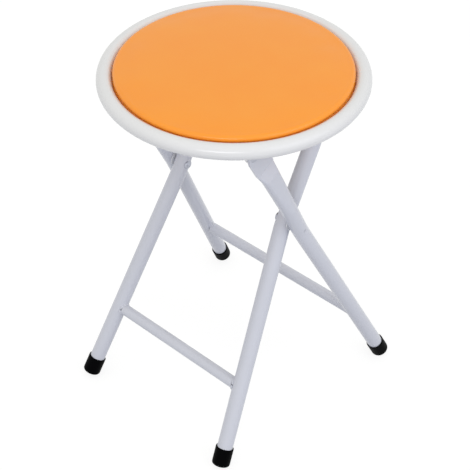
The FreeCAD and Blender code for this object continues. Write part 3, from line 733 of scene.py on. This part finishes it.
OUTER_LEGS, INNER_LEGS = (("outer_leg_left", "outer_leg_right"), ("inner_leg_left", "inner_leg_right"))
rail_beads("outer_rail_welds", "outer_rail", OUTER_LEGS, "outer_frame", SHORT_ARC)
rail_beads("inner_rail_welds", "inner_rail", INNER_LEGS, "inner_frame", LONG_ARC)
rail_beads("top_bar_welds", "inner_top_bar", INNER_LEGS, "inner_frame", LONG_ARC)

# %% [markdown]
# ## Beads of the seat
# The straps are welded to the ring at both ends, and the hinge brackets to the rear strap.  The line
# on the ring is found with sight lines too.  The brackets are straight, so two points are enough.

# %% Weld the straps
STRAP_BEAD_STEPS = 6

ring_tree = target("seat_ring")
strap_form = bmesh.new()
for strap in ("rear_strap", "front_strap"):
    low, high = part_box(strap)
    for sign in (-1, 1):
        heading = Vector((sign, 0, 0))
        path = []
        for step in range(STRAP_BEAD_STEPS + 1):
            along = low.y + (high.y - low.y) * step / STRAP_BEAD_STEPS
            start = Vector((sign * (high.x - RAY_START), along, low.z))
            path.append(ring_tree.ray_cast(start, heading)[0])
        bead(strap_form, path)
for side in ("left", "right"):
    low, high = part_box("hinge_bracket_" + side)
    edge = low.x if side == "right" else high.x
    ends = (low.y + BEAD_RADIUS, high.y - BEAD_RADIUS)
    bead(strap_form, [Vector((edge, along, high.z)) for along in ends])
new_piece("strap_welds", strap_form, "seat", COATED)
print("strap welds laid")

# %% [markdown]
# ## Screws
# The board is held by pan-head screws from below.  The plain solids are replaced by screws with a
# cross recess, cut out of the head as the real one is punched into it.

# %% Make the screws
HEAD_STEPS = 8
SCREW_SEGMENTS = 32
HEAD_RISE, HEAD_DOME = 0.6, 2 / 3
POINT = 0.1
RECESS_WIDTH = 1.3 * MM
RECESS_REACH = 2.5 * MM
ARMS = 4
RECESS_DEPTH = 1.5 * MM
RECESS_TAPER = 0.25


def screw_boxes(name):
    """Box of each screw in a group, told apart by the sign of X and by which strap it is under."""
    places = {}
    low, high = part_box(name)
    middle = (low.y + high.y) / 2 if high.y - low.y > STRAP_HALF * 2 else low.y - 1
    for vertex in nodes[name].data.vertices:
        places.setdefault((vertex.co.x > 0, vertex.co.y > middle), []).append(vertex.co)
    for group in places.values():
        yield (Vector([min(p[axis] for p in group) for axis in range(3)]),
               Vector([max(p[axis] for p in group) for axis in range(3)]))


def screw_form(low, high):
    """Domed head, shank and point of one screw inside its box."""
    head = (high.x - low.x) / 2
    axis = Vector(((low.x + high.x) / 2, (low.y + high.y) / 2, 0))
    shank, head_rise = head / 2, head * HEAD_RISE
    profile = [(head * math.sin(math.pi / 2 * step / HEAD_STEPS),
                low.z + head_rise * HEAD_DOME * (1 - math.cos(math.pi / 2 * step / HEAD_STEPS)))
               for step in range(1, HEAD_STEPS + 1)]
    profile += [(head, low.z + head_rise), (shank, low.z + head_rise), (shank, high.z - shank),
                (shank * POINT, high.z)]
    form = closed_form([[axis + Vector((radius * math.cos(turn), radius * math.sin(turn), height))
                         for turn in around(SCREW_SEGMENTS)] for radius, height in profile])
    bmesh.ops.recalc_face_normals(form, faces=form.faces)
    return form


def recess_form(low, high):
    """Cross that is cut into the head."""
    centre = Vector(((low.x + high.x) / 2, (low.y + high.y) / 2, low.z))
    half, reach = RECESS_WIDTH / 2, RECESS_REACH
    arm = [(reach, -half), (reach, half), (half, half)]
    outline = []
    for _ in range(ARMS):
        outline += arm
        arm = [(-y, x) for x, y in arm]
    levels = ((-RECESS_DEPTH, 1 + RECESS_TAPER), (RECESS_DEPTH, 1 - RECESS_TAPER))
    form = closed_form([[centre + Vector((x * share, y * share, depth)) for x, y in outline]
                        for depth, share in levels])
    bmesh.ops.recalc_face_normals(form, faces=form.faces)
    return form


for group in ("strap_screws", "catch_screws"):
    whole = bmesh.new()
    for low, high in screw_boxes(group):
        blank, punch = scratch_object(screw_form(low, high)), scratch_object(recess_form(low, high))
        punched = blank.modifiers.new("punch", "BOOLEAN")
        punched.object = punch
        whole.from_mesh(evaluated_mesh(blank))
        bpy.data.objects.remove(blank)
        bpy.data.objects.remove(punch)
    piece = new_piece(group + "_punched", whole, "seat", "zinc_steel")
    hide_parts(group)
    print(piece.name, "made")

# %% [markdown]
# ## The sky
# The picture was lit softly from above.  An even sky does that here.  It looks white to the camera
# and in reflections, and is a little darker as a light, so that pale coats do not burn out.

# %% Make the sky
SKY = "#FFFFFB"
SKY_STRENGTH = 0.8


def seen_directly(tree):
    """1 for rays from the camera and for reflections and refractions of the surroundings."""
    path = add_node(tree, "LightPath")
    mirrored = add_node(tree, "Math", links={0: (path, "Is Camera Ray"), 1: (path, "Is Glossy Ray")},
                        operation="MAXIMUM")
    return add_node(tree, "Math", links={0: (mirrored, 0), 1: (path, "Is Transmission Ray")},
                    operation="MAXIMUM")


world = bpy.data.worlds.new("studio")
world.use_nodes = True
world.node_tree.nodes.clear()
sky = add_node(world.node_tree, "Background", {"Color": colour(SKY), "Strength": SKY_STRENGTH})
white = add_node(world.node_tree, "Background", {"Color": (1, 1, 1, 1), "Strength": 1.0})
both = add_node(world.node_tree, "MixShader",
                links={0: (seen_directly(world.node_tree), 0), 1: (sky, 0), 2: (white, 0)})
add_node(world.node_tree, "OutputWorld", links={"Surface": (both, 0)})
bpy.context.scene.world = world
print("sky made")

# %% [markdown]
# ## The ground
# The stool stands on white paper.  To the camera and in reflections the ground is white with the
# stool's faint shadow: most of its white is a glow, and a small share of it takes light and shade.
# For the light on the stool it is grey paper that throws some cool light back up.

# %% Lay the ground
GROUND_PALE = "#909090"
GROUND_SIDE = 8.0
GROUND_SHARE = 0.22
GROUND_GLOW = 0.83
GROUND_BOUNCE = 0.18
BOUNCE_TINT = "#D4DDFF"

ground_material, tree, _ = new_material("white_ground")
paper = add_node(tree, "BsdfDiffuse", {"Color": colour(GROUND_PALE)})
bounce = add_node(tree, "Emission", {"Color": colour(BOUNCE_TINT), "Strength": GROUND_BOUNCE})
plain = add_node(tree, "AddShader", links={0: (paper, 0), 1: (bounce, 0)})
shadow = add_node(tree, "BsdfDiffuse", {"Color": (GROUND_SHARE, GROUND_SHARE, GROUND_SHARE, 1)})
glow = add_node(tree, "Emission", {"Color": (1, 1, 1, 1), "Strength": GROUND_GLOW})
shown = add_node(tree, "AddShader", links={0: (shadow, 0), 1: (glow, 0)})
mixed = add_node(tree, "MixShader", links={0: (seen_directly(tree), 0), 1: (plain, 0), 2: (shown, 0)})
close_material(tree, mixed)
ground_form = bmesh.new()
bmesh.ops.create_grid(ground_form, x_segments=1, y_segments=1, size=GROUND_SIDE / 2)
ground_mesh = bpy.data.meshes.new("ground")
ground_form.to_mesh(ground_mesh)
ground_form.free()
ground_mesh.materials.append(ground_material)
ground = bpy.data.objects.new("ground", ground_mesh)
bpy.context.scene.collection.objects.link(ground)
print("ground laid,", GROUND_SIDE, "m wide")

# %% [markdown]
# ## The lamps
# A little light comes from the camera's side and from the right.  The strip lamp is narrow, so it
# draws the thin bright line along the ring's front.  The softbox is wide and gives the legs a softly
# lit right side.  Both are weak, so the colours stay about as they are written.

# %% Hang the lamps
def lamp(name, place, aim, width, height, power, tint):
    light = bpy.data.lights.new(name, "AREA")
    light.shape = "ELLIPSE"
    light.size, light.size_y = width, height
    light.energy = power
    light.color = colour(tint)[:3]
    item = bpy.data.objects.new(name, light)
    item.location = place
    item.rotation_euler = (aim - Vector(place)).to_track_quat("-Z", "Y").to_euler()
    bpy.context.scene.collection.objects.link(item)


middle = (cad_box[0] + cad_box[1]) / 2
lamp("camera_strip", (0.9, -1.45, 1.15), middle, width=1.2, height=0.35, power=6.2, tint="#FAFAFF")
lamp("right_softbox", (1.9, 0.1, 1.4), middle, width=1.8, height=1.8, power=8.6, tint="#EEF2FF")
bpy.context.scene.view_settings.view_transform = "Standard"
